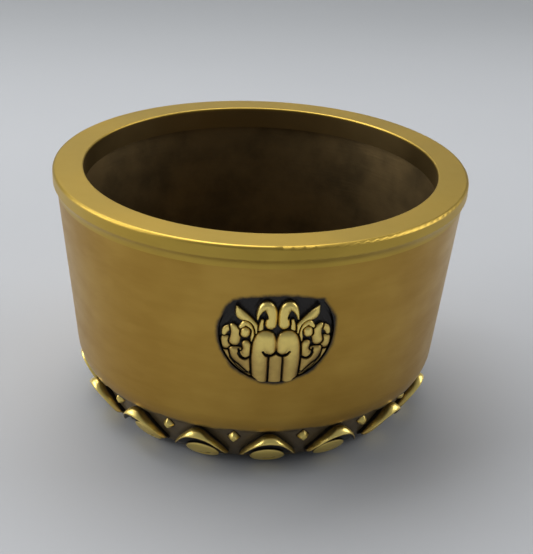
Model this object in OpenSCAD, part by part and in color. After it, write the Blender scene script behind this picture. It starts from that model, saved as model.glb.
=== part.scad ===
// Round brass pot: a turned, slightly tapered wall under a thick rim, standing on a
// blackened band of cast lotus petals, with an oval scroll medallion let in front and rear.
// Millimetres. Z is up, the table is z = 0 and the pot's axis is the Z axis.
// The front medallion faces -Y.

/* [Pot] */
// Outer diameter across the rim
rim_d = 110; // [88:1:140]
// Height from the table to the top of the rim
pot_h = 68; // [55:1:90]
// Thickness of the wall
wall_t = 3.5; // [2.8:0.1:4.5]
// How much closer to the axis the wall is at its foot than under the rim
wall_draw = 4.5; // [1:0.5:7]
// Height of the wall's lower edge above the table
wall_low_z = 14; // [13.2:0.1:16]
// Height over which the wall's foot is rounded in
wall_foot_h = 5; // [3:0.5:8]
// How far the rounded foot comes in
wall_foot_in = 1.2; // [0.6:0.1:1.6]

/* [Rim] */
// Width of the rim's flat top, from the mouth to the outer face
rim_w = 8; // [7:0.5:11]
// Height of the rim ring
rim_h = 6; // [5:0.5:9]
// How far the lip stands out over the wall
lip_over = 1.1; // [0.6:0.1:2]
// Rounding of the lip's top edge
lip_edge_r = 0.8; // [0.3:0.1:1.2]
// Rounding of the lip's lower edge
lip_low_r = 1; // [0.5:0.1:1.4]
// Radius of the hollow between the lip and the wall
cove_r = 3.5; // [2.5:0.1:4.5]
// Rounding of the mouth's edge
mouth_edge_r = 0.4; // [0.2:0.1:0.8]

/* [Lotus band] */
// How far the dark ground lies behind the face of the wall
ground_set = 4; // [3.5:0.1:5]
// Radius of the ground's curve, seen in section
ground_curve_r = 17; // [14:0.5:20]
// Height of the underside of the band above the table
band_low_z = 1.2; // [0.8:0.1:2]
// Thickness of the band's collar, which stands inside the wall
collar_t = 1; // [0.6:0.1:1.6]
// Height of the collar above the wall's lower edge
collar_h = 5; // [3:0.5:8]
// Thickness of the band beside the floor
band_t = 2.5; // [2:0.1:3.5]

/* [Petals] */
// Number of petals round the band
petals = 16; // [12:1:18]
// Gap between the feet of two neighbouring petals
petal_gap = 1.5; // [0.8:0.1:3]
// Height of a petal's tip above the table
petal_top_z = 12.9; // [12:0.1:13.2]
// Height of a petal's foot above the table
petal_foot_z = 5; // [4:0.1:6]
// Radius of the petal's round tip
crown_r = 6; // [4.5:0.1:6.4]
// Radius of the hollow shoulders beside the tip
shoulder_r = 8; // [6.5:0.5:12]
// How far the lip's crest stands out from the line of the wall
lip_out = 0.1; // [-1:0.1:0.5]
// How far the lip's crest lies below the petal's tip
lip_crest_drop = 1.9; // [0.8:0.1:2.2]
// Thickness of the lip at the petal's foot
lip_foot_t = 1.2; // [0.8:0.1:2]
// Height of the lip, seen from the front, at the tip
lip_tip_h = 2.4; // [1.8:0.1:3]
// Height of the lip's thin ends
lip_end_h = 0.8; // [0.5:0.1:1.2]
// Width of the lip's thin ends
lip_end_w = 0.5; // [0.4:0.1:0.8]
// Thickness of the petal's back plate
petal_back_t = 0.6; // [0.4:0.1:0.8]
// Width of the boss under the lip
boss_w = 9.2; // [7:0.1:9.6]
// Height of the boss
boss_h = 5.6; // [3.6:0.1:5.8]
// Height of the middle of the boss above the table
boss_z = 4.3; // [4:0.1:4.6]
// How far the boss stands out from the ground
boss_t = 1.6; // [1:0.1:2]

/* [Tips between the petals] */
// Width of the lozenge-shaped tip
tip_w = 3; // [2:0.1:3.6]
// Height of the tip
tip_h = 3.6; // [2.6:0.1:4]
// Height of the middle of the tip above the table
tip_z = 11; // [10.6:0.1:11.2]
// How far the tip stands out from the ground
tip_t = 1.5; // [1:0.1:2]
// Radius of the scallop that the wall's edge leaves over each tip
scallop_r = 3.7; // [3:0.1:4.4]
// Height of the shallow arch in the wall's edge over each petal
arch_h = 0.6; // [0.3:0.1:1]
// Radius of that arch
arch_r = 14; // [10:0.5:20]

/* [Floor and foot] */
// Thickness of the floor plate
floor_t = 3; // [2:0.1:4]
// Height of the foot ring, up to the floor plate
foot_h = 4; // [3:0.1:5]
// Width of the foot ring's wall
foot_w = 4; // [2.5:0.1:6]
// Ledge on which the floor plate rests
floor_ledge = 2.2; // [1.5:0.1:3]
// Rounding of the foot's lower edges
foot_edge_r = 0.5; // [0.2:0.1:0.8]

/* [Medallions] */
// Radius of the medallion's round sides and bottom
medal_r = 13.8; // [11:0.1:15]
// Radius of the medallion's flatter top edge
medal_top_r = 38; // [25:1:60]
// Height of the top edge above the centre of the round part
medal_top_h = 10.4; // [8.5:0.1:11]
// Height of the centre of the round part above the table
medal_z = 44.2; // [38:0.1:46]
// Depth of the seat in the wall
seat_depth = 1.6; // [1.2:0.1:2]
// Gap between the medallion and its seat, all round
seat_gap = 0.2; // [0.1:0.05:0.4]
// Thickness of the medallion's ground plate
plate_t = 0.8; // [0.5:0.1:1]
// How far the relief stands out from the face of the wall
relief_h = 0.8; // [0.4:0.1:1.4]

/* [Hidden] */
$fn = 96;
cut = 1;
side_over = 0.5;
front = 0;
rear = 180;

// Rim and wall
rim_r = rim_d / 2;
mouth_r = rim_r - rim_w;
wall_top_r = rim_r - lip_over;
wall_low_r = wall_top_r - wall_draw;
seam_z = pot_h - rim_h;
collar_top_z = wall_low_z + collar_h;
collar_r = wall_low_r - wall_t + collar_t;
function wall_r(z) = wall_low_r + wall_draw * (z - wall_low_z) / (seam_z - wall_low_z);
function inner_r(z) = wall_r(z) - wall_t;
wall_lean = atan(wall_draw / (seam_z - wall_low_z));
wall_foot_r = (pow(wall_foot_h, 2) + pow(wall_foot_in, 2)) / (2 * wall_foot_in);
wall_foot_centre = [wall_r(wall_low_z + wall_foot_h), wall_low_z + wall_foot_h]
    + wall_foot_r * [-cos(wall_lean), sin(wall_lean)];

// Section of the band's ground: an arc whose crest is level with the wall's lower edge
ground_r = wall_low_r - ground_set;
ground_centre_r = ground_r - ground_curve_r;
function ground_at(z) = ground_centre_r + sqrt(pow(ground_curve_r, 2) - pow(wall_low_z - z, 2));
floor_r = ground_at(foot_h) - band_t;
foot_r = floor_r - floor_ledge;
floor_top_z = foot_h + floor_t;

// Petals: half the width at the foot follows from the ring, the count and the gap
petal_turn = 360 / petals;
petal_half_w = ground_at(petal_foot_z) * sin(petal_turn / 2) - petal_gap / 2;
crown_z = petal_top_z - crown_r;
lip_crest_r = wall_low_r + lip_out;
lip_foot_r = ground_at(petal_foot_z) + lip_foot_t;
lip_crest_z = petal_top_z - lip_crest_drop;
lip_low_z = petal_foot_z - lip_end_h;
lip_curve_r = (pow(lip_crest_z - petal_foot_z, 2) + pow(lip_crest_r - lip_foot_r, 2))
    / (2 * (lip_crest_r - lip_foot_r));
lip_under_z = petal_top_z - lip_tip_h;
boss_low_z = boss_z - boss_h / 2;

// Medallion: the relief is laid out for a medallion of this radius and scales with it
relief_layout_r = 13.8;
unit = medal_r / relief_layout_r;
relief_z = medal_z - 1.5 * unit;
bead_out = 0.6;
bead_fn = 12;
plate_fn = 240;

function pad(i) = str(i < 10 ? "0" : "", i);
petal_names = [for (i = [1:petals]) str("petal_", pad(i))];
tip_names = [for (i = [1:petals]) str("tip_", pad(i))];

// Colours
polished = [0.79, 0.67, 0.36];
satin = [0.66, 0.56, 0.33];
blackened = [0.16, 0.13, 0.10];
brown = [0.25, 0.20, 0.13];

// Where two circles meet, on the left of the line from centre p to centre q
function meet(p, rp, q, rq) =
    let (
        d = norm(q - p),
        along = (rp * rp - rq * rq + d * d) / (2 * d),
        aside = sqrt(rp * rp - along * along),
        u = (q - p) / d
    )
    p + along * u + aside * [-u[1], u[0]];

// Radius of the circle through the two ends and the top of an arch
function arch_radius(half_w, rise) = (half_w * half_w + rise * rise) / (2 * rise);

// Carries an outline drawn in X and height outwards from the axis, facing the given way
module radial(turn, from, to) {
    rotate([0, 0, turn]) rotate([90, 0, 0])
        translate([0, 0, from]) linear_extrude(to - from) children();
}

module corner(edge_r) {
    difference() {
        square(edge_r + cut);
        circle(edge_r);
    }
}

module both_sides() {
    children();
    mirror([1, 0, 0]) children();
}

// Turned shells that follow the wall or the ground, from one offset to another
module wall_layer(from, to) {
    rotate_extrude()
        polygon([
            [wall_r(wall_low_z) + from, wall_low_z],
            [wall_r(wall_low_z) + to, wall_low_z],
            [wall_r(seam_z) + to, seam_z],
            [wall_r(seam_z) + from, seam_z]
        ]);
}

module ground_section(offset_r) {
    translate([ground_centre_r, wall_low_z]) circle(ground_curve_r + offset_r);
}

module ground_layer(thickness) {
    rotate_extrude() difference() {
        intersection() {
            ground_section(thickness);
            translate([ground_centre_r, 0]) square([ground_curve_r + thickness, wall_low_z]);
        }
        ground_section(0);
    }
}

// The thick ring that makes the mouth and the lip
module rim_section() {
    low_edge = [rim_r - lip_low_r, seam_z + sqrt(2 * lip_over * (cove_r + lip_low_r) - lip_over * lip_over)];
    cove = [wall_top_r + cove_r, seam_z];
    touch = low_edge + (cove - low_edge) * lip_low_r / (cove_r + lip_low_r);
    difference() {
        union() {
            translate([mouth_r, seam_z]) square([wall_top_r - mouth_r, rim_h]);
            translate([wall_top_r - cut, low_edge[1]]) square([lip_over + cut, pot_h - low_edge[1]]);
            translate(low_edge) circle(lip_low_r);
            difference() {
                polygon([[wall_top_r - cut, seam_z], [wall_top_r, seam_z], touch, low_edge, [wall_top_r - cut, low_edge[1]]]);
                translate(cove) circle(cove_r);
            }
        }
        translate([rim_r - lip_edge_r, pot_h - lip_edge_r]) corner(lip_edge_r);
        translate([mouth_r + mouth_edge_r, pot_h - mouth_edge_r]) rotate(90) corner(mouth_edge_r);
    }
}

module rim_ring() {
    color(polished) rotate_extrude() rim_section();
}

// The wall: a cone over the band's collar, with scallops over the tips and two oval seats
module shell_section() {
    polygon([
        [wall_low_r - wall_foot_in, wall_low_z],
        [wall_r(wall_low_z + wall_foot_h), wall_low_z + wall_foot_h],
        [wall_top_r, seam_z],
        [inner_r(seam_z), seam_z],
        [inner_r(collar_top_z), collar_top_z],
        [collar_r, collar_top_z],
        [collar_r, wall_low_z]
    ]);
    intersection() {
        translate(wall_foot_centre) circle(wall_foot_r);
        translate([collar_r, wall_low_z]) square([rim_r - collar_r, wall_foot_h]);
    }
}

module edge_cut(turn, centre_z, cut_r) {
    radial(turn, collar_r - cut, rim_r) translate([0, centre_z]) circle(cut_r);
}

module pot_shell() {
    color(satin) difference() {
        rotate_extrude() shell_section();
        for (i = [0:petals - 1]) {
            edge_cut((i + 0.5) * petal_turn, tip_z + 0.4, scallop_r);
            edge_cut(i * petal_turn, wall_low_z + arch_h - arch_r, arch_r);
        }
        for (turn = [front, rear]) intersection() {
            radial(turn, mouth_r - wall_draw, rim_r) medallion_outline(0);
            wall_layer(-seat_depth, rim_w);
        }
    }
}

// The band: the curved ground of the petals, with a collar inside the wall
module lotus_band() {
    color(blackened) rotate_extrude() difference() {
        union() {
            intersection() {
                ground_section(0);
                translate([foot_r, band_low_z]) square([rim_r, wall_low_z - band_low_z]);
            }
            translate([floor_r, wall_low_z]) square([collar_r - floor_r, collar_h]);
        }
        polygon([
            [0, foot_h],
            [floor_r, foot_h],
            [floor_r, floor_top_z],
            [inner_r(collar_top_z), collar_top_z],
            [inner_r(collar_top_z), collar_top_z + cut],
            [0, collar_top_z + cut]
        ]);
    }
}

module floor_plate() {
    color(brown) translate([0, 0, foot_h]) cylinder(h = floor_t, r = floor_r);
}

module foot_ring() {
    color(satin) rotate_extrude() difference() {
        translate([foot_r - foot_w, 0]) square([foot_w, foot_h]);
        translate([foot_r - foot_edge_r, foot_edge_r]) rotate(-90) corner(foot_edge_r);
        translate([foot_r - foot_w + foot_edge_r, foot_edge_r]) rotate(180) corner(foot_edge_r);
    }
}

// Petal: a bracket-shaped lip over an oval boss, on a thin back plate
module petal_outline() {
    crown = [0, crown_z];
    end = [petal_half_w, petal_foot_z];
    shoulder = meet(crown, crown_r + shoulder_r, end, shoulder_r);
    touch = crown + (shoulder - crown) * crown_r / (crown_r + shoulder_r);
    difference() {
        union() {
            translate(crown) circle(crown_r);
            polygon([
                [-petal_half_w, lip_low_z],
                [petal_half_w, lip_low_z],
                end + [0, side_over],
                touch,
                [-touch[0], touch[1]],
                [-petal_half_w, petal_foot_z + side_over]
            ]);
        }
        for (side = [-1, 1]) translate([side * shoulder[0], shoulder[1]]) circle(shoulder_r);
    }
}

module boss_outline() {
    end_r = boss_h / 2;
    translate([-boss_w / 2 + end_r, boss_low_z]) square([boss_w - boss_h, boss_h]);
    for (side = [-1, 1]) translate([side * (boss_w / 2 - end_r), boss_z]) circle(end_r);
}

module under_arch() {
    rise = lip_under_z - lip_low_z;
    arch = arch_radius(petal_half_w - lip_end_w, rise);
    translate([0, lip_under_z - arch]) circle(arch);
}

module lip_body() {
    rotate_extrude() difference() {
        intersection() {
            translate([lip_crest_r - lip_curve_r, lip_crest_z]) circle(lip_curve_r);
            translate([ground_centre_r, lip_low_z]) square([rim_r, petal_top_z + cut - lip_low_z]);
        }
        ground_section(0);
    }
}

module petal(turn) {
    color(polished) rotate([0, 0, turn]) {
        intersection() {
            lip_body();
            radial(front, foot_r, rim_r) difference() {
                petal_outline();
                under_arch();
            }
        }
        intersection() {
            ground_layer(petal_back_t);
            radial(front, foot_r, rim_r) {
                petal_outline();
                translate([-boss_w / 2 + boss_h / 2, boss_z]) square([boss_w - boss_h, petal_foot_z - boss_z]);
            }
        }
        intersection() {
            ground_layer(boss_t);
            radial(front, foot_r, rim_r) boss_outline();
        }
    }
}

module tip(turn) {
    color(polished) rotate([0, 0, turn]) intersection() {
        ground_layer(tip_t);
        radial(front, foot_r, rim_r) translate([0, tip_z])
            polygon([[0, tip_h / 2], [-tip_w / 2, 0], [0, -tip_h / 2], [tip_w / 2, 0]]);
    }
}

// Medallion: a plate in the wall's seat that carries a symmetrical relief of scrolls
module medallion_outline(gap) {
    intersection() {
        translate([0, medal_z]) circle(medal_r - gap);
        translate([0, medal_z + medal_top_h - medal_top_r]) circle(medal_top_r - gap);
    }
}

// One side of the relief; each leaf is [one end, its radius, other end, its radius]
half_relief = [
    // Great frond: a broad stem that curls over to the middle
    [[2.6, 2.6], 2.35, [4, -0.5], 1.9],
    [[4, -0.5], 1.9, [3.9, -10.1], 1.5],
    // Hook above it, curling outwards
    [[1.7, 4.4], 1.2, [1.9, 8.6], 1.3],
    [[2.1, 9.3], 1.1, [4.4, 7.4], 0.5],
    // Side flame and the spiral beneath it
    [[9.6, 9], 0.4, [7.4, 6.4], 0.9],
    [[7.4, 6.4], 0.9, [5.6, 1], 0.7],
    [[7.6, 2.3], 1.25, [7.5, 3.8], 1],
    // Commas, broad leaf and strip at the side
    [[10.6, -1], 1, [10.4, 3.4], 0.9],
    [[12.3, -1.6], 1.05, [12.1, 0.6], 0.7],
    [[7, -2.2], 1.15, [7.2, -0.6], 1],
    [[8.9, -5], 2, [7.4, -8.4], 0.9],
    [[11.2, -5.4], 0.6, [7.8, -9.2], 0.6]
];
middle_leaf = [[0, -4.6], 1.3, [0, -10.4], 1.2];

// A ball in the medallion's face, which stands out from the plate as far as its size allows
module bead(place, size) {
    r = size * unit;
    x = place[0] * unit;
    z = relief_z + place[1] * unit;
    out = wall_r(z) + min(relief_h - r, plate_t - seat_depth + bead_out * r);
    translate([x, -sqrt(out * out - x * x), z]) sphere(r, $fn = bead_fn);
}

module leaf(ends) {
    hull() {
        bead(ends[0], ends[1]);
        bead(ends[2], ends[3]);
    }
}

module medallion(turn) {
    rotate([0, 0, turn]) {
        color(blackened) intersection() {
            wall_layer(-seat_depth, -seat_depth + plate_t, $fn = plate_fn);
            radial(front, foot_r, rim_r) medallion_outline(seat_gap);
        }
        color(polished) intersection() {
            wall_layer(plate_t / 2 - seat_depth, relief_h);
            union() {
                both_sides() for (ends = half_relief) leaf(ends);
                leaf(middle_leaf);
            }
        }
    }
}

rim_ring();
pot_shell();
lotus_band();
floor_plate();
foot_ring();
medallion(front);  // medallion_front
medallion(rear);  // medallion_rear
for (i = [0:petals - 1]) {
    petal(i * petal_turn);
    tip((i + 0.5) * petal_turn);
}
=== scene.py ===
"""Looks of a round brass planter pot: a turned wall and rim, cast lotus petals round the
foot, and a carved scroll medallion in front and behind. Metres, on the CAD frame."""

import math

import bmesh
import bpy
import numpy as np
from mathutils import Matrix, Vector


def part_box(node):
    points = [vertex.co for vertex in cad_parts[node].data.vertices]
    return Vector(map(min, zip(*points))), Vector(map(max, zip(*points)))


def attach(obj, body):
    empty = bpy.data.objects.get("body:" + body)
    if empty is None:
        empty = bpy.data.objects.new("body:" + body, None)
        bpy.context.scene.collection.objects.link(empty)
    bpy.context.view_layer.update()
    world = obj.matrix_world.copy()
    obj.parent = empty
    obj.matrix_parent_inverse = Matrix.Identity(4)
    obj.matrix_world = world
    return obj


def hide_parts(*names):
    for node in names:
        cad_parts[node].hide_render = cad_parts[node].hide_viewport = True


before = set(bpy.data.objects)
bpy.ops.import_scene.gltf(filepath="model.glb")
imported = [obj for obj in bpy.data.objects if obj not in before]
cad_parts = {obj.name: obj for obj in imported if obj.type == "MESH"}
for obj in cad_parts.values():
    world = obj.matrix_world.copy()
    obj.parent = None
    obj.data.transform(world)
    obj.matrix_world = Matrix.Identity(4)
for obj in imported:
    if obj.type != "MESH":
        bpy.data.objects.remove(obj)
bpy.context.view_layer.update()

MM = 0.001
PETALS = 16
PETAL_TURN = 2 * math.pi / PETALS

# Wall: a cone between its foot and the seam under the rim
wall_low, wall_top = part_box("pot_shell")
WALL_FOOT_Z, SEAM_Z = wall_low.z, wall_top.z
WALL_TOP_R = wall_top.x
WALL_DRAW = 4.5 * MM
WALL_FOOT_R = WALL_TOP_R - WALL_DRAW
WALL_T = 3.5 * MM
WALL_SLOPE = (WALL_TOP_R - WALL_FOOT_R) / (SEAM_Z - WALL_FOOT_Z)
RIM_TOP_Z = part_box("rim_ring")[1].z
RIM_BEVEL = 1.0 * MM

# Ground of the lotus band: an arc that bulges out under the wall
GROUND_CURVE_R = 17 * MM
GROUND_SET = 4 * MM
GROUND_CENTRE_R = WALL_FOOT_R - GROUND_SET - GROUND_CURVE_R

# Petals: a lip over an oval boss, and a stud between each two
PETAL_END_X = 7.3 * MM
BOSS_Z = 4.3 * MM
BOSS_HALF_W = 4.6 * MM
BOSS_HALF_H = 3.35 * MM
BOSS_T = 1.55 * MM
BOSS_FULLNESS = 0.26       # the smaller, the flatter the boss's face
BOSS_ROOT = -0.4           # how deep the boss goes into the ground, as a share of BOSS_T
BACK_LOW = 2.4 * MM        # how far the thin casting reaches down beside the boss
BACK_T = 0.5 * MM
BACK_SET = 0.1 * MM        # how far its face stands out from the ground
TIP_Z = 10.6 * MM
TIP_HALF_W = 2.05 * MM
TIP_HALF_H = 2.25 * MM
TIP_T = 1.4 * MM

# Crescent nick in a boss: its middle, squash, radius and width as shares of the boss's half size
NICK_X, NICK_Z = 0.08, 0.06
NICK_SQUASH, NICK_R, NICK_W = 1.25, 0.36, 0.11
NICK_DEPTH = 0.6 * MM

# How worn the castings are, from 0 (black) to 1 (bare)
BOSS_WORN, BOSS_EDGE_LOSS, NICK_LOSS = 0.92, 0.8, 0.8
BOSS_EDGE = 0.93           # share of the boss's half size where its dark edge begins
LIP_END_LOSS = 0.45
TIP_WORN = 0.92

# Medallion: a circle cut off by a flatter arc above
MEDAL_R = 13.6 * MM
MEDAL_TOP_R = 37.8 * MM
MEDAL_Z = 44.2 * MM
MEDAL_TOP_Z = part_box("medallion_front")[1].z
MEDAL_SEAT = 1.6 * MM
MEDAL_SIDE = 281           # points along each side of the sheet it is shaped from
RELIEF_Z = MEDAL_Z - 1.5 * MM

# View
VIEW_RISE = math.radians(25.85)
VIEW_TURN = math.radians(6.3)
VIEW_ROLL = math.radians(2.42)
VIEW_DISTANCE = 0.3231
VIEW_TARGET = Vector((2.66, -0.30, 33.99)) * MM
VIEW_LENS = 75.04


def wall_r(z):
    """Distance of the wall's outer face from the axis."""
    return WALL_FOOT_R + (z - WALL_FOOT_Z) * WALL_SLOPE


def ground_r(z):
    """Distance of the lotus band's ground from the axis."""
    return GROUND_CENTRE_R + np.sqrt(GROUND_CURVE_R ** 2 - (WALL_FOOT_Z - z) ** 2)


def smooth(low, high, value):
    """Eased step from 0 to 1 as the value goes from low to high, or back where low is above high."""
    t = np.clip((value - low) / (high - low), 0, 1)
    return t * t * (3 - 2 * t)


# ---------------------------------------------------------------- node helpers
class Nodes:
    """Adds and links shader nodes in one tree."""

    def __init__(self, tree):
        self.tree = tree

    def add(self, kind, **inputs):
        node = self.tree.nodes.new(kind)
        for name, value in inputs.items():
            self.feed(node, name, value)
        return node

    def feed(self, node, name, value):
        """Links or sets an input, found by its name (a double underscore is a space) or as _ and a number."""
        socket = node.inputs[int(name[1:])] if name[0] == "_" else node.inputs[name.replace("__", " ")]
        if isinstance(value, bpy.types.NodeSocket):
            self.tree.links.new(value, socket)
        else:
            socket.default_value = value

    def math(self, operation, a, b=0.0, c=0.0):
        node = self.add("ShaderNodeMath", _0=a, _1=b, _2=c)
        node.operation = operation
        return node.outputs[0]

    def length(self, a, b):
        """The long side of a right-angled triangle."""
        return self.math("SQRT", self.math("ADD", self.math("POWER", a, 2.0), self.math("POWER", b, 2.0)))

    def ramp(self, value, low, high, out_low=0.0, out_high=1.0):
        """Smooth step from out_low to out_high as value goes from low to high."""
        node = self.add("ShaderNodeMapRange", Value=value)
        node.interpolation_type = "SMOOTHSTEP"
        for name, limit in (("From Min", low), ("From Max", high), ("To Min", out_low), ("To Max", out_high)):
            node.inputs[name].default_value = limit
        return node.outputs["Result"]

    def noise(self, vector, scale, detail=4.0, roughness=0.55):
        node = self.add("ShaderNodeTexNoise", Vector=vector, Scale=scale, Detail=detail, Roughness=roughness)
        return node.outputs["Fac"]

    def mix(self, factor, a, b):
        """The colour a share `factor` of the way from a to b."""
        node = self.tree.nodes.new("ShaderNodeMix")
        node.data_type = "RGBA"
        for name, value in (("_0", factor), ("_6", a), ("_7", b)):
            self.feed(node, name, value)
        return node.outputs[2]

    def stretched(self, vector, scale):
        node = self.add("ShaderNodeMapping", Vector=vector, Scale=scale)
        return node.outputs[0]


def new_group(name, inputs, outputs):
    """A shader node group with named sockets; returns it, its helper, its input and output nodes."""
    group = bpy.data.node_groups.new(name, "ShaderNodeTree")
    for label, kind, value in inputs:
        socket = group.interface.new_socket(label, in_out="INPUT", socket_type=kind)
        if value is not None:
            socket.default_value = value
    for label, kind in outputs:
        group.interface.new_socket(label, in_out="OUTPUT", socket_type=kind)
    nodes = Nodes(group)
    return group, nodes, nodes.add("NodeGroupInput").outputs, nodes.add("NodeGroupOutput")


FLOAT, VECTOR, COLOUR = "NodeSocketFloat", "NodeSocketVector", "NodeSocketColor"


def make_tarnish_group():
    """Cloudy darkening and fine specks of a hand-finished, oiled brass."""
    group, n, given, out = new_group(
        "brass_tarnish",
        [("Position", VECTOR, None), ("Bright", COLOUR, None), ("Dull", COLOUR, None),
         ("Cloud Scale", FLOAT, 55.0), ("Amount", FLOAT, 0.5)],
        [("Color", COLOUR), ("Cloud", FLOAT)],
    )
    cloud = n.noise(given["Position"], given["Cloud Scale"], 3.0, 0.5)
    bands = n.noise(n.stretched(given["Position"], (60.0, 60.0, 230.0)), 1.0, 3.0, 0.6)
    fleck = n.noise(given["Position"], 1900.0, 2.0, 0.5)
    blend = n.math("ADD", n.math("MULTIPLY", n.ramp(cloud, 0.32, 0.70), 0.65),
                   n.math("MULTIPLY", n.ramp(bands, 0.30, 0.72), 0.35))
    dulled = n.math("MULTIPLY", blend, given["Amount"])
    speck = n.math("MULTIPLY", n.ramp(fleck, 0.66, 0.80), 0.25)
    factor = n.math("ADD", dulled, n.math("MULTIPLY", speck, given["Amount"]))
    n.feed(out, "Color", n.mix(factor, given["Bright"], given["Dull"]))
    n.feed(out, "Cloud", blend)
    return group


def make_turning_group():
    """Fine rings left by turning and brushing, as a height."""
    group, n, given, out = new_group(
        "turning_marks",
        [("Position", VECTOR, None), ("Rings", FLOAT, 1.0), ("Spin Scale", FLOAT, 30.0),
         ("Line Scale", FLOAT, 9000.0)],
        [("Height", FLOAT)],
    )
    split = n.add("ShaderNodeSeparateXYZ", Vector=given["Position"]).outputs
    angle = n.math("ARCTAN2", split["Y"], split["X"])
    along = n.add("ShaderNodeCombineXYZ")
    radius = n.length(split["X"], split["Y"])
    line = n.math("MULTIPLY", n.math("ADD", split["Z"], radius), given["Line Scale"])
    wrap = n.math("MULTIPLY", n.math("COSINE", angle), given["Spin Scale"])
    wrap_y = n.math("MULTIPLY", n.math("SINE", angle), given["Spin Scale"])
    for socket, value in zip(("X", "Y", "Z"), (wrap, wrap_y, line)):
        n.feed(along, socket, value)
    scratch = n.noise(along.outputs[0], 0.12, 4.0, 0.7)
    hammer = n.noise(given["Position"], 130.0, 2.0, 0.5)
    height = n.math("ADD", n.math("MULTIPLY", scratch, given["Rings"]), n.math("MULTIPLY", hammer, 0.8))
    n.feed(out, "Height", height)
    return group


def make_patina_group():
    """Black patina in the hollows and bare metal on the crests, from a relief value of 0 to 1."""
    group, n, given, out = new_group(
        "worn_patina",
        [("Position", VECTOR, None), ("Relief", FLOAT, 0.5), ("Gold", COLOUR, None),
         ("Brown", COLOUR, None), ("Black", COLOUR, None)],
        [("Color", COLOUR), ("Bare", FLOAT), ("Grime", FLOAT)],
    )
    rub = n.noise(given["Position"], 420.0, 4.0, 0.6)
    rubbed = n.math("ADD", given["Relief"], n.math("MULTIPLY", n.math("SUBTRACT", rub, 0.5), 0.28))
    bare = n.ramp(rubbed, 0.22, 0.52)
    crest = n.ramp(rubbed, 0.45, 0.85)
    metal = n.mix(crest, given["Brown"], given["Gold"])
    n.feed(out, "Color", n.mix(bare, given["Black"], metal))
    n.feed(out, "Bare", bare)
    n.feed(out, "Grime", rub)
    return group


def make_round_group():
    """How far a point lies inside the outer face of the wall, and its height."""
    group, n, given, out = new_group(
        "pot_inside",
        [("Position", VECTOR, None)],
        [("Inside", FLOAT), ("Height", FLOAT)],
    )
    split = n.add("ShaderNodeSeparateXYZ", Vector=given["Position"]).outputs
    radius = n.length(split["X"], split["Y"])
    outer = n.math("MULTIPLY_ADD", n.math("SUBTRACT", split["Z"], WALL_FOOT_Z), WALL_SLOPE, WALL_FOOT_R)
    depth = n.math("SUBTRACT", outer, radius)
    n.feed(out, "Inside", n.ramp(depth, 0.6 * WALL_T, 0.8 * WALL_T))
    n.feed(out, "Height", split["Z"])
    return group


def make_smudge_group():
    """Patina that has crept over the wall round a medallion and above the lotus band."""
    group, n, given, out = new_group(
        "patina_smudge",
        [("Position", VECTOR, None)],
        [("Smudge", FLOAT)],
    )
    split = n.add("ShaderNodeSeparateXYZ", Vector=given["Position"]).outputs

    def from_circle(centre_z, radius):
        rise = n.math("SUBTRACT", split["Z"], centre_z)
        return n.math("SUBTRACT", n.length(split["X"], rise), radius)

    round_edge = from_circle(MEDAL_Z, MEDAL_R)
    top_edge = from_circle(MEDAL_TOP_Z - MEDAL_TOP_R, MEDAL_TOP_R)
    outside = n.math("MAXIMUM", round_edge, top_edge)
    ragged = n.math("MULTIPLY", n.math("SUBTRACT", n.noise(given["Position"], 260.0), 0.5), 1.6 * MM)
    near = n.ramp(n.math("ADD", outside, ragged), 0.1 * MM, 1.3 * MM, 1.0, 0.0)
    height = n.math("ADD", split["Z"], ragged)
    above = n.ramp(height, WALL_FOOT_Z + 0.2 * MM, WALL_FOOT_Z + 1.5 * MM, 0.9, 0.0)
    n.feed(out, "Smudge", n.math("MAXIMUM", near, above))
    return group


GROUPS = {
    "tarnish": make_tarnish_group(),
    "turning": make_turning_group(),
    "patina": make_patina_group(),
    "inside": make_round_group(),
    "smudge": make_smudge_group(),
}


def new_material(name):
    """An empty material: returns it, its helper, its shader and the object position."""
    material = bpy.data.materials.new(name)
    material.use_nodes = True
    n = Nodes(material.node_tree)
    shader = material.node_tree.nodes["Principled BSDF"]
    position = n.add("ShaderNodeTexCoord").outputs["Object"]
    return material, n, shader, position


def place(n, name, **inputs):
    """Puts one of the groups into a tree; returns its outputs."""
    node = n.tree.nodes.new("ShaderNodeGroup")
    node.node_tree = GROUPS[name]
    for label, value in inputs.items():
        n.feed(node, label, value)
    return node.outputs


def add_bump(n, shader, height, strength, distance):
    """Gives the shader a bumped normal from a height."""
    bump = n.add("ShaderNodeBump", Height=height, Strength=strength, Distance=distance)
    n.feed(shader, "Normal", bump.outputs[0])


# Finishes
RIM_GOLD = (0.55, 0.375, 0.070, 1)
RIM_DULL = (0.42, 0.275, 0.045, 1)
WALL_GOLD = (0.52, 0.320, 0.066, 1)
WALL_DULL = (0.38, 0.215, 0.036, 1)
INSIDE_BROWN = (0.230, 0.160, 0.072, 1)
INSIDE_DARK = (0.120, 0.086, 0.042, 1)
LEAF_GOLD = (0.98, 0.76, 0.230, 1)
LEAF_BROWN = (0.52, 0.345, 0.105, 1)
PATINA_BLACK = (0.014, 0.011, 0.009, 1)
PATINA_RUBBED = (0.038, 0.030, 0.020, 1)
FLOOR_GREYS = (0.42, 0.43, 0.445, 1), (0.455, 0.465, 0.48, 1)
# painted shade: the grey the backdrop darkens to at the sweep and the upright part, standing in for light
# that falls off away from the pot
FLOOR_FAR_PAINTED_SHADE = (0.235, 0.243, 0.25, 1)
ROOM_LIGHT = (0.80, 0.84, 0.90, 1)


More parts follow.
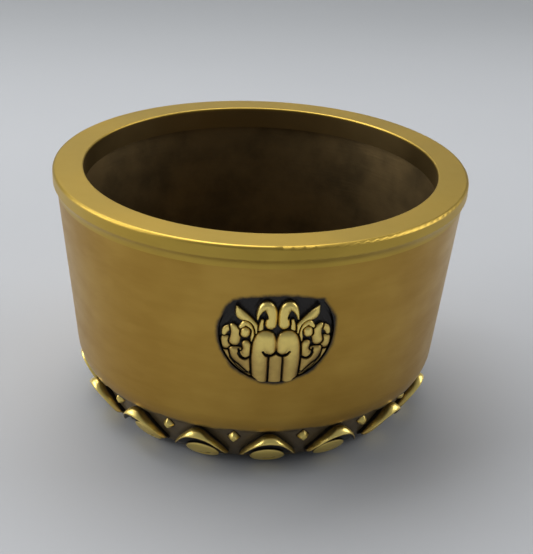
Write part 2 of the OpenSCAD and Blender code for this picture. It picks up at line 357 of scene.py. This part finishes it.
def make_rim_brass():
    """Polished brass, with the dark lining inside the mouth."""
    material, n, shader, position = new_material("rim_polished_brass")
    tone = place(
        n, "tarnish", Position=position, Bright=RIM_GOLD, Dull=RIM_DULL, Cloud__Scale=48.0, Amount=0.45
    )
    inside = place(n, "inside", Position=position)
    below_top = n.ramp(inside["Height"], RIM_TOP_Z - RIM_BEVEL, RIM_TOP_Z, 0.9, 0.0)
    lining = n.math("MULTIPLY", inside["Inside"], below_top)
    n.feed(shader, "Base Color", n.mix(lining, tone["Color"], INSIDE_BROWN))
    n.feed(shader, "Roughness", n.math("MULTIPLY_ADD", tone["Cloud"], 0.08, 0.36))
    shader.inputs["Metallic"].default_value = 1.0
    marks = place(n, "turning", Position=position, Rings=1.0)
    add_bump(n, shader, marks["Height"], 0.02, 0.0001)
    return material


def make_wall_brass():
    """Brushed brass outside, smudged with patina at its edges, and brown inside."""
    material, n, shader, position = new_material("wall_brushed_brass")
    tone = place(
        n, "tarnish", Position=position, Bright=WALL_GOLD, Dull=WALL_DULL, Cloud__Scale=42.0, Amount=0.8
    )
    inside = place(n, "inside", Position=position)
    stain = n.ramp(n.noise(position, 70.0), 0.35, 0.75)
    lining = n.mix(stain, INSIDE_BROWN, INSIDE_DARK)
    smudge = place(n, "smudge", Position=position)
    soiled = n.math("MULTIPLY", smudge["Smudge"], n.math("SUBTRACT", 1.0, inside["Inside"]))
    outer = n.mix(soiled, tone["Color"], PATINA_BLACK)
    n.feed(shader, "Base Color", n.mix(inside["Inside"], outer, lining))
    rough = n.math("MULTIPLY_ADD", tone["Cloud"], 0.12, 0.31)
    n.feed(shader, "Roughness", n.math("MULTIPLY_ADD", inside["Inside"], 0.18, rough))
    n.feed(shader, "Metallic", n.math("MULTIPLY_ADD", soiled, -0.6, 1.0))
    marks = place(n, "turning", Position=position, Rings=1.0)
    add_bump(n, shader, marks["Height"], 0.30, 0.00014)
    return material


def make_band_patina():
    """Black patina with a little brown where it is rubbed."""
    material, n, shader, position = new_material("band_black_patina")
    rub = n.noise(position, 320.0, 4.0, 0.6)
    inside = place(n, "inside", Position=position)
    tone = n.mix(n.ramp(rub, 0.45, 0.80), PATINA_BLACK, PATINA_RUBBED)
    n.feed(shader, "Base Color", n.mix(inside["Inside"], tone, INSIDE_DARK))
    n.feed(shader, "Roughness", n.ramp(rub, 0.30, 0.75, 0.42, 0.62))
    shader.inputs["Metallic"].default_value = 0.25
    shader.inputs["Coat Weight"].default_value = 0.12
    shader.inputs["Coat Roughness"].default_value = 0.25
    add_bump(n, shader, n.noise(position, 520.0, 4.0, 0.6), 0.5, 0.0002)
    return material


def make_relief_brass(name, gold, brown):
    """Cast brass with black patina in its hollows; the mesh carries how worn each point is."""
    material, n, shader, position = new_material(name)
    worn = n.add("ShaderNodeAttribute")
    worn.attribute_name = "worn"
    tone = place(
        n, "patina", Position=position, Relief=worn.outputs["Fac"], Gold=gold, Brown=brown, Black=PATINA_BLACK
    )
    n.feed(shader, "Base Color", tone["Color"])
    n.feed(shader, "Metallic", n.math("MULTIPLY_ADD", tone["Bare"], 0.65, 0.35))
    n.feed(shader, "Roughness", n.math("MULTIPLY_ADD", tone["Grime"], 0.18, 0.26))
    add_bump(n, shader, tone["Grime"], 0.25, 0.00015)
    return material


def make_floor_brown():
    """Stained brown brass of the floor, with coarse turning rings."""
    material, n, shader, position = new_material("floor_brown_brass")
    stain = n.ramp(n.noise(position, 60.0), 0.30, 0.75)
    n.feed(shader, "Base Color", n.mix(stain, INSIDE_BROWN, INSIDE_DARK))
    n.feed(shader, "Roughness", n.math("MULTIPLY_ADD", stain, 0.2, 0.42))
    shader.inputs["Metallic"].default_value = 0.9
    marks = place(n, "turning", Position=position, Rings=1.4)
    add_bump(n, shader, marks["Height"], 0.4, 0.0002)
    return material


def make_foot_brass():
    """Dull turned brass of the foot ring."""
    material, n, shader, position = new_material("foot_turned_brass")
    tone = place(
        n, "tarnish", Position=position, Bright=WALL_DULL, Dull=INSIDE_BROWN, Cloud__Scale=70.0, Amount=1.0
    )
    n.feed(shader, "Base Color", tone["Color"])
    n.feed(shader, "Roughness", n.math("MULTIPLY_ADD", tone["Cloud"], 0.15, 0.34))
    shader.inputs["Metallic"].default_value = 1.0
    marks = place(n, "turning", Position=position, Rings=1.2)
    add_bump(n, shader, marks["Height"], 0.35, 0.0002)
    return material


FINISH = {
    "rim": make_rim_brass(),
    "wall": make_wall_brass(),
    "band": make_band_patina(),
    "petal": make_relief_brass("petal_worn_brass", LEAF_GOLD, LEAF_BROWN),
    "medallion": make_relief_brass("medallion_worn_brass", LEAF_GOLD, LEAF_BROWN),
    "floor": make_floor_brown(),
    "foot": make_foot_brass(),
}


# ---------------------------------------------------------------- mesh helpers
MEETING = 1e-7


def sheet_of(columns, rows):
    """A flat grid and its vertices as rows of columns, ready to be shaped."""
    bm = bmesh.new()
    bm.verts.layers.float.new("worn")
    bmesh.ops.create_grid(bm, x_segments=columns - 1, y_segments=rows - 1, size=1.0)
    places = np.array([v.co for v in bm.verts])
    order = np.lexsort((places[:, 0].round(5), places[:, 1].round(5)))
    bm.verts.ensure_lookup_table()
    return bm, [bm.verts[i] for i in order]


def close_up(bm):
    """Joins the points that meet at seams and poles."""
    bmesh.ops.remove_doubles(bm, verts=bm.verts, dist=MEETING)
    bmesh.ops.recalc_face_normals(bm, faces=bm.faces)


def outwards(across, radius, height):
    """Points that face the front (-Y) at a distance from the axis, as an array."""
    depth = -np.sqrt(np.maximum(radius ** 2 - across ** 2, 0))
    return np.stack([across, depth, height], -1)


def finish_piece(bm, name, material, node, turn):
    """Turns a shaped bmesh into a smooth, named piece that stands for a CAD node."""
    bmesh.ops.rotate(bm, verts=bm.verts, matrix=Matrix.Rotation(turn, 3, "Z"))
    for face in bm.faces:
        face.smooth = True
    mesh = bpy.data.meshes.new(name)
    bm.to_mesh(mesh)
    bm.free()
    mesh.materials.append(material)
    piece = bpy.data.objects.new(name, mesh)
    bpy.context.scene.collection.objects.link(piece)
    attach(piece, "root")
    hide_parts(node)
    return piece


# ---------------------------------------------------------------- lotus petals
# Half of the lip's upper and lower edges: (across, distance from the axis, height), in millimetres
LIP_TOP = [(0, 47.4, 12.75), (1.1, 47.4, 12.65), (2.2, 47.35, 11.9), (3.4, 47.1, 10.6), (5.0, 46.3, 8.8),
           (6.7, 45.1, 6.3), (7.3, 44.6, 5.2)]
LIP_EDGE = [(0, 49.4, 11.3), (2.0, 49.25, 10.95), (3.0, 48.9, 10.4), (4.0, 48.35, 9.5), (5.3, 47.3, 7.9),
            (6.4, 46.1, 6.1), (7.3, 44.9, 4.6)]
# Section of the lip, round from its root: where each corner hangs, its offset outwards and
# upwards from there in millimetres, and how worn it is
LIP_CORNERS = [
    ("top_root", -0.40, -0.60, 0.00),
    ("top", -0.90, -0.15, 0.20),
    ("top", -0.05, 0.12, 0.75),
    ("crest", 0.30, 0.42, 1.00),
    ("edge", 0.05, 0.18, 0.95),
    ("edge", -0.20, -0.42, 0.42),
    ("edge", -1.30, -0.30, 0.05),
    ("edge_root", -0.40, -0.60, 0.00),
]
LIP_COLUMNS = 81
LIP_PINCH = 0.6 * MM       # length over which each end of the lip closes


def curve_at(points, across):
    """Distance from the axis and height along a softened symmetrical curve."""
    xs, radii, heights = (np.array(values) * MM for values in zip(*points))
    nudges = np.array([-0.5, -0.25, 0, 0.25, 0.5]) * MM
    reach = np.minimum(np.abs(across[:, None] + nudges), xs[-1])
    return np.interp(reach, xs, radii).mean(1), np.interp(reach, xs, heights).mean(1)


def softened(loop, rounds=2):
    """Cuts the corners of a closed loop of points, stacked along the first axis."""
    for _ in range(rounds):
        following = np.roll(loop, -1, axis=0)
        loop = np.stack([0.75 * loop + 0.25 * following, 0.25 * loop + 0.75 * following], 1)
        loop = loop.reshape((-1,) + loop.shape[2:])
    return loop


def lip_loop(across):
    """Section of the lip at each place across, as a closed loop of distance, height and wear."""
    top_r, top_z = curve_at(LIP_TOP, across)
    edge_r, edge_z = curve_at(LIP_EDGE, across)
    full = 1 - (np.abs(across) / PETAL_END_X) ** 2
    places = {
        "top_root": (ground_r(top_z), top_z),
        "top": (top_r, top_z),
        "crest": ((top_r + edge_r) / 2, (top_z + edge_z) / 2),
        "edge": (edge_r, edge_z),
        "edge_root": (ground_r(edge_z), edge_z),
    }
    corners = []
    for name, out, up, wear in LIP_CORNERS:
        radius, height = places[name]
        swell = full if name == "crest" else 1.0
        corners.append((radius + out * MM * swell, height + up * MM * swell, wear + 0 * across))
    return softened(np.array(corners))


def add_lip(bm_into):
    """The bracket-shaped lip: a closed section drawn along it, pinched shut at both ends."""
    across = np.linspace(-1, 1, LIP_COLUMNS) * PETAL_END_X
    loop = lip_loop(across)
    middle = loop[:, :2].mean(0)
    pinch = np.sqrt(np.clip((PETAL_END_X - np.abs(across)) / LIP_PINCH, 0, 1))
    loop[:, :2] = middle + (loop[:, :2] - middle) * pinch
    loop = np.concatenate([loop, loop[:1]])
    loop[:, 2] *= 1 - LIP_END_LOSS * (np.abs(across) / PETAL_END_X) ** 3
    bm, verts = sheet_of(LIP_COLUMNS, len(loop))
    layer = bm.verts.layers.float["worn"]
    for row, (radius, height, wear) in enumerate(loop):
        shaped = outwards(across, radius, height)
        for column in range(LIP_COLUMNS):
            vertex = verts[row * LIP_COLUMNS + column]
            vertex.co = shaped[column]
            vertex[layer] = wear[column]
    close_up(bm)
    merge_into(bm_into, bm)


def add_boss(bm_into):
    """An oval boss that follows the ground, with a crescent nick in its face."""
    bm = bmesh.new()
    bmesh.ops.create_uvsphere(bm, u_segments=72, v_segments=48, radius=1.0)
    layer = bm.verts.layers.float.new("worn")
    middle_slope = math.asin((WALL_FOOT_Z - BOSS_Z) / GROUND_CURVE_R)
    for vertex in bm.verts:
        a, b, c = vertex.co.x, vertex.co.z, -vertex.co.y
        across = a * BOSS_HALF_W
        rim = math.hypot(a, b)
        lift = BOSS_T * (abs(c) ** BOSS_FULLNESS) * (1 if c > 0 else BOSS_ROOT)
        arc = abs(math.hypot(a - NICK_X, (b - NICK_Z) * NICK_SQUASH) - NICK_R)
        below = min(1.0, max(0.0, (0.02 - b) * 4 + (a - NICK_X) * 0.8))
        nick = math.exp(-(arc / NICK_W) ** 2) * below if c > 0 else 0.0
        slope = middle_slope - b * BOSS_HALF_H / GROUND_CURVE_R
        out = GROUND_CURVE_R + lift - NICK_DEPTH * nick
        radius = GROUND_CENTRE_R + out * math.cos(slope)
        height = WALL_FOOT_Z - out * math.sin(slope)
        vertex.co = (across, -math.sqrt(radius ** 2 - across ** 2), height)
        bare = BOSS_WORN - BOSS_EDGE_LOSS * float(smooth(BOSS_EDGE, 1.0, rim))
        vertex[layer] = (bare - NICK_LOSS * nick) if c > 0 else 0.0
    close_up(bm)
    merge_into(bm_into, bm)


def add_back(bm_into):
    """The thin casting that joins the lip and the boss."""
    columns, rows = 33, 17
    bm, verts = sheet_of(columns, rows)
    across = np.linspace(-0.94, 0.94, columns) * PETAL_END_X
    top = curve_at(LIP_TOP, across)[1] - 0.7 * MM
    bow = np.sqrt(np.maximum(1 - (across / BOSS_HALF_W) ** 2, 0))
    low = np.minimum(BOSS_Z - BACK_LOW * bow, top - 0.4 * MM)
    for row in range(rows):
        height = low + (top - low) * row / (rows - 1)
        shaped = outwards(across, ground_r(height) + BACK_SET, height)
        for column in range(columns):
            verts[row * columns + column].co = shaped[column]
    bmesh.ops.recalc_face_normals(bm, faces=bm.faces)
    bmesh.ops.solidify(bm, geom=bm.faces[:], thickness=BACK_T)
    bmesh.ops.recalc_face_normals(bm, faces=bm.faces)
    merge_into(bm_into, bm)


def merge_into(target, source):
    """Adds a shaped part to a piece."""
    part = bpy.data.meshes.new("part")
    source.to_mesh(part)
    source.free()
    target.from_mesh(part)
    bpy.data.meshes.remove(part)


def make_petal(name, turn):
    """One cast petal: lip, boss and the thin casting between them."""
    bm = bmesh.new()
    for add_part in (add_lip, add_boss, add_back):
        add_part(bm)
    return finish_piece(bm, name + "_cast", FINISH["petal"], name, turn)


# ---------------------------------------------------------------- lozenge tips
def make_tip(name, turn):
    """A small four-sided stud with a raised, softened middle."""
    bm = bmesh.new()
    bmesh.ops.create_cone(bm, cap_ends=True, segments=4, radius1=1.0, radius2=0.42, depth=1.0)
    bmesh.ops.bevel(bm, geom=bm.edges[:], offset=0.13, segments=3, profile=0.5, affect="EDGES", material=-1)
    bmesh.ops.subdivide_edges(bm, edges=bm.edges[:], cuts=1, use_grid_fill=True, smooth=0.2)
    layer = bm.verts.layers.float.new("worn")
    slope_mid = math.asin((WALL_FOOT_Z - TIP_Z) / GROUND_CURVE_R)
    for vertex in bm.verts:
        a, b, c = vertex.co
        lift = TIP_T * (c + 0.42) - 0.12 * MM * (a * a + b * b)
        slope = slope_mid - b * TIP_HALF_H / GROUND_CURVE_R
        out = GROUND_CURVE_R + lift
        radius = GROUND_CENTRE_R + out * math.cos(slope)
        across = a * TIP_HALF_W
        vertex.co = (across, -math.sqrt(radius ** 2 - across ** 2), WALL_FOOT_Z - out * math.sin(slope))
        vertex[layer] = float(smooth(-0.5, 0.1, c)) * TIP_WORN
    bmesh.ops.recalc_face_normals(bm, faces=bm.faces)
    return finish_piece(bm, name + "_stud", FINISH["petal"], name, turn)


# ---------------------------------------------------------------- medallions
# Leaves of the right half, from the lowest to the uppermost. Each has one or more strokes of
# points (across, above the centre, half width) in millimetres, the height of its face over
# the sunk plate, and how round it is.
LEAVES = [
    # two strips along the lower edge
    ([[(12.2, -3.6, 0.6), (11.0, -5.8, 0.85), (9.2, -8.0, 0.85), (7.4, -9.6, 0.7),
       (5.8, -10.7, 0.45)]], 0.95, 0.5),
    ([[(10.4, -5.4, 0.3), (8.9, -7.2, 0.45), (7.2, -8.8, 0.4), (6.2, -9.5, 0.2)]], 1.05, 0.5),
    # outer oval and comma
    ([[(11.9, -0.7, 1.15), (11.9, -2.0, 1.15)]], 0.95, 0.7),
    ([[(10.9, 3.0, 0.75), (12.0, 2.2, 0.75), (12.4, 1.1, 0.5)]], 0.95, 0.6),
    ([[(9.9, -0.8, 1.2), (9.6, 0.8, 1.15), (9.8, 2.3, 1.0), (10.5, 3.5, 0.55)]], 1.15, 0.75),
    # broad leaf below, and the comma that curls out of its top
    ([[(10.3, -3.2, 0.7), (8.7, -4.6, 1.85), (7.6, -6.2, 1.45), (6.9, -7.7, 0.9),
       (6.4, -8.9, 0.4)]], 1.15, 0.65),
    ([[(7.2, -1.4, 0.9), (6.7, -3.0, 1.1), (7.3, -4.4, 1.1), (8.2, -4.2, 0.6)]], 1.35, 0.7),
    # side flame with its spiral
    ([[(4.9, -0.6, 0.5), (4.9, 1.5, 0.8), (5.5, 3.8, 0.85), (6.9, 5.5, 0.9), (8.5, 6.6, 1.15),
       (9.2, 7.8, 0.75), (9.6, 9.0, 0.2)]], 1.45, 0.8),
    ([[(5.8, -0.3, 0.35), (5.9, 1.8, 0.5), (6.5, 3.7, 0.55), (7.6, 4.5, 0.6), (8.4, 3.4, 0.6)]], 1.35, 0.65),
    ([[(7.5, 1.5, 1.05), (7.4, 2.2, 1.05)]], 1.45, 0.8),
    # narrow upright leaf
    ([[(3.6, 5.3, 0.35), (3.8, 3.6, 0.55), (3.9, 1.6, 0.5)]], 1.05, 0.6),
    # central column
    ([[(0.0, -4.2, 0.35), (0.0, -5.4, 1.6), (0.0, -8.0, 1.75), (0.0, -12.9, 1.8)]], 1.20, 0.4),
    # great frond: its stem, and the head that curls over it
    ([[(3.5, -12.9, 1.55), (3.75, -8.6, 1.8), (3.85, -5.4, 1.9), (3.6, -2.6, 2.1), (3.1, -0.6, 2.25)],
      [(2.7, -0.1, 2.4), (2.2, -1.4, 2.15), (1.5, -2.9, 1.35)]], 1.75, 0.9),
    # upper hook, which curls outwards
    ([[(4.8, 6.0, 0.2), (4.5, 7.4, 0.5), (3.7, 8.8, 0.9), (2.6, 9.3, 1.25), (1.7, 8.2, 1.3),
       (1.4, 6.3, 1.25), (1.55, 4.3, 1.3)]], 1.75, 0.9),
]
# Cuts between the curls, on the same half
CUTS = [
    [(3.2, -3.2, 0.06), (2.5, -4.2, 0.12), (1.9, -4.6, 0.16)],
    [(2.5, -4.0, 0.10), (1.9, -4.5, 0.16), (1.0, -4.4, 0.16), (0.0, -3.7, 0.2)],
    [(3.0, 6.9, 0.35), (2.7, 6.2, 0.25)],
    [(8.9, -3.0, 0.06), (8.4, -4.7, 0.12), (7.3, -5.5, 0.14), (6.2, -5.0, 0.12)],
]
LEVEL_TOP = 1.75       # height of the highest leaves over the sunk plate
PLATE_DROP = 0.95      # how far the sunk plate lies under the wall's face
LOW_WORN = 0.62        # wear of the lowest leaves, as a share of the highest ones'
GROOVE = 0.30          # width of the groove round each leaf
LEAF_EASE = 0.08, 1.10    # added to each half width, and its stretch
FINE_STEPS = 7         # points drawn between two given ones


def smooth_stroke(points):
    """More points along a stroke, on a curve through the given ones."""
    p = np.array(points, float)
    if len(p) < 3:
        return p
    padded = np.vstack([2 * p[0] - p[1], p, 2 * p[-1] - p[-2]])
    line = []
    for i in range(1, len(padded) - 2):
        a, b, c, d = padded[i - 1:i + 3]
        for t in np.arange(FINE_STEPS) / FINE_STEPS:
            line.append(0.5 * (2 * b + (c - a) * t + (2 * a - 5 * b + 4 * c - d) * t ** 2
                               + (3 * b - a - 3 * c + d) * t ** 3))
    line.append(p[-1])
    line = np.array(line)
    line[:, 2] = np.maximum(line[:, 2], 0.08)
    return line


def stroke_fit(points, x, z):
    """For each place: how far through the stroke's half width it is, and how far outside it."""
    share = np.full(x.shape, 9.0)
    outside = np.full(x.shape, 99.0)
    line = smooth_stroke(points)
    if len(line) == 1:
        line = np.vstack([line, line])
    for (x0, z0, w0), (x1, z1, w1) in zip(line[:-1], line[1:]):
        dx, dz = x1 - x0, z1 - z0
        length = max(dx * dx + dz * dz, 1e-9)
        t = np.clip(((x - x0) * dx + (z - z0) * dz) / length, 0, 1)
        reach = np.hypot(x - x0 - t * dx, z - z0 - t * dz)
        width = LEAF_EASE[0] + LEAF_EASE[1] * (w0 + (w1 - w0) * t)
        share = np.minimum(share, reach / width)
        outside = np.minimum(outside, reach - width)
    return share, outside


def relief(x, z):
    """Height of the carving over the sunk plate and how worn it is, at places in millimetres."""
    x = np.abs(x)
    face = 0.10 * np.sin(x * 2.1 + z * 1.3) ** 2
    wear = 0.10 + 0 * face
    for strokes, level, roundness in LEAVES:
        fits = [stroke_fit(points, x, z) for points in strokes]
        share = np.min([fit[0] for fit in fits], axis=0)
        outside = np.min([fit[1] for fit in fits], axis=0)
        rounded = np.sqrt(np.maximum(1 - share ** 2, 0))
        dome = level * (1 - roundness + roundness * rounded) * np.minimum(1, rounded * 2.5)
        near = smooth(0, GROOVE, outside)
        face = np.where(share < 1, np.maximum(dome, 0.02), face * near)
        crest = (0.34 + 0.60 * rounded) * (LOW_WORN + (1 - LOW_WORN) * level / LEVEL_TOP)
        wear = np.where(share < 1, crest * smooth(-0.04, 0.15, -outside), wear * near)
    for points in CUTS:
        cut = 1 - smooth(-0.08, 0.20, stroke_fit(points, x, z)[1])
        face = face * (1 - 0.6 * cut)
        wear = wear * (1 - cut)
    return face, wear * (LOW_WORN + (1 - LOW_WORN) * smooth(-9, 5, z))


def disc_grid(side):
    """Lays a square grid on a disc: each point's ring, as a share of the radius, and its angle."""
    a, b = np.meshgrid(np.linspace(-1, 1, side), np.linspace(-1, 1, side))
    ring = np.maximum(np.abs(a), np.abs(b))
    angle = np.where(
        np.abs(a) >= np.abs(b),
        np.where(a >= 0, 0.0, math.pi) + math.pi / 4 * b / np.where(a == 0, 1, a),
        np.where(b >= 0, 0.5, 1.5) * math.pi - math.pi / 4 * a / np.where(b == 0, 1, b),
    )
    return ring, angle


def make_medallion(name, turn):
    """A carved oval plate: a square sheet drawn out to the medallion's outline and raised."""
    bm, verts = sheet_of(MEDAL_SIDE, MEDAL_SIDE)
    ring, angle = disc_grid(MEDAL_SIDE)
    drop = MEDAL_TOP_Z - MEDAL_TOP_R - MEDAL_Z
    to_top = drop * np.sin(angle) + np.sqrt(MEDAL_TOP_R ** 2 - (drop * np.cos(angle)) ** 2)
    reach = np.minimum(MEDAL_R, to_top)
    x = ring * reach * np.cos(angle)
    z = MEDAL_Z + ring * reach * np.sin(angle)
    height, wear = relief(x / MM, (z - RELIEF_Z) / MM)
    from_edge = (1 - ring) * reach / MM
    rim = smooth(0.0, 0.40, from_edge)
    foot = smooth(-8.5, -11.0, (z - RELIEF_Z) / MM) * smooth(5.5, 4.0, np.abs(x) / MM)
    rim = np.maximum(rim, foot)
    height, wear = height * (0.12 + 0.88 * rim), wear * rim
    shaped = outwards(x, wall_r(z) + (height - PLATE_DROP) * MM, z).reshape(-1, 3)
    layer = bm.verts.layers.float["worn"]
    for vertex, spot, bare in zip(verts, shaped, wear.ravel()):
        vertex.co = spot
        vertex[layer] = bare
    edge = [e for e in bm.edges if e.is_boundary]
    grown = bmesh.ops.extrude_edge_only(bm, edges=edge)["geom"]
    for vertex in (g for g in grown if isinstance(g, bmesh.types.BMVert)):
        seat = wall_r(vertex.co.z) - 0.97 * MEDAL_SEAT
        vertex.co.y = -math.sqrt(seat ** 2 - vertex.co.x ** 2)
        vertex[layer] = 0.0
    loop = [g for g in grown if isinstance(g, bmesh.types.BMEdge)]
    bmesh.ops.edgeloop_fill(bm, edges=[e for e in loop if e.is_boundary])
    bmesh.ops.recalc_face_normals(bm, faces=bm.faces)
    return finish_piece(bm, name + "_carving", FINISH["medallion"], name, turn)


# ---------------------------------------------------------------- build
CARRIED = {
    "rim_ring": "rim", "pot_shell": "wall", "lotus_band": "band",
    "floor_plate": "floor", "foot_ring": "foot",
}
for node, finish in CARRIED.items():
    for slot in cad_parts[node].material_slots:
        slot.material = FINISH[finish]

for index in range(PETALS):
    make_petal(f"petal_{index + 1:02d}", index * PETAL_TURN)
    make_tip(f"tip_{index + 1:02d}", (index + 0.5) * PETAL_TURN)
make_medallion("medallion_front", 0.0)
make_medallion("medallion_rear", math.pi)


# ---------------------------------------------------------------- stage
def make_floor():
    """One pale sheet: a table top that sweeps up into the backdrop, its colour darkened towards the back by
    painted shade.
    """
    bm = bmesh.new()
    half, front, sweep_start, sweep_r, wall_h, steps = 2.4, -1.8, 0.45, 0.5, 1.6, 24
    start = bm.verts.new((-half, front, 0.0))
    end = bm.verts.new((half, front, 0.0))
    edge = bm.edges.new((start, end))
    path = [(0.0, sweep_start)]
    for step in range(1, steps + 1):
        turned = math.pi / 2 * step / steps
        path.append((sweep_r - sweep_r * math.cos(turned), sweep_start + sweep_r * math.sin(turned)))
    path.append((wall_h, sweep_start + sweep_r))
    for height, back in path:
        grown = bmesh.ops.extrude_edge_only(bm, edges=[edge])["geom"]
        for vertex in (g for g in grown if isinstance(g, bmesh.types.BMVert)):
            vertex.co.y, vertex.co.z = back, height
        edge = next(g for g in grown if isinstance(g, bmesh.types.BMEdge))
    for face in bm.faces:
        face.smooth = True
    mesh = bpy.data.meshes.new("backdrop")
    bm.to_mesh(mesh)
    bm.free()
    material, n, shader, position = new_material("backdrop_grey_with_painted_shade")
    shade = n.noise(position, 6.0, 3.0, 0.5)
    near = n.mix(shade, *FLOOR_GREYS)
    # painted shade: the colour darkens from the floor near the pot to the sweep and the upright backdrop
    painted_falloff = n.ramp(n.add("ShaderNodeSeparateXYZ", Vector=position).outputs["Y"], 0.18, 0.62)
    n.feed(shader, "Base Color", n.mix(painted_falloff, near, FLOOR_FAR_PAINTED_SHADE))
    shader.inputs["Roughness"].default_value = 0.75
    mesh.materials.append(material)
    sheet = bpy.data.objects.new("backdrop", mesh)
    bpy.context.scene.collection.objects.link(sheet)


# Softboxes: name, place, height they aim at, width, height and power
SOFTBOXES = [
    ("overhead", (-0.20, 0.45, 1.10), 0.02, 1.2, 0.9, 12.5),
    ("left_window", (-1.15, 0.05, 0.55), 0.03, 0.9, 0.8, 8.5),
    ("right_fill", (1.15, 0.15, 0.55), 0.03, 0.8, 0.8, 5.8),
]
ROOM_STRENGTH = 0.30


def add_softbox(name, place_at, aim_z, width, height, power):
    """An area light that faces a point on the pot's axis."""
    light = bpy.data.lights.new(name, "AREA")
    light.shape = "RECTANGLE"
    light.size, light.size_y = width, height
    light.energy = power
    lamp = bpy.data.objects.new(name, light)
    lamp.location = place_at
    lamp.rotation_euler = (Vector((0, 0, aim_z)) - Vector(place_at)).to_track_quat("-Z", "Y").to_euler()
    bpy.context.scene.collection.objects.link(lamp)


def light_the_stage():
    """Pale room light and three softboxes."""
    world = bpy.data.worlds.new("soft_room")
    world.use_nodes = True
    background = world.node_tree.nodes["Background"]
    background.inputs["Color"].default_value = ROOM_LIGHT
    background.inputs["Strength"].default_value = ROOM_STRENGTH
    bpy.context.scene.world = world
    for softbox in SOFTBOXES:
        add_softbox(*softbox)


def set_camera():
    """The camera, with its small tilt."""
    data = bpy.data.cameras.new("view")
    data.lens = VIEW_LENS
    camera = bpy.data.objects.new("view", data)
    back = Vector((
        -math.cos(VIEW_RISE) * math.sin(VIEW_TURN),
        -math.cos(VIEW_RISE) * math.cos(VIEW_TURN),
        math.sin(VIEW_RISE),
    ))
    level = Vector((math.cos(VIEW_TURN), -math.sin(VIEW_TURN), 0))
    upright = back.cross(level)
    right = math.cos(VIEW_ROLL) * level + math.sin(VIEW_ROLL) * upright
    up = -math.sin(VIEW_ROLL) * level + math.cos(VIEW_ROLL) * upright
    turn = Matrix((right, up, back)).transposed()
    camera.matrix_world = Matrix.Translation(VIEW_TARGET + back * VIEW_DISTANCE) @ turn.to_4x4()
    bpy.context.scene.collection.objects.link(camera)
    bpy.context.scene.camera = camera


make_floor()
light_the_stage()
set_camera()
bpy.context.scene.view_settings.view_transform = "Standard"
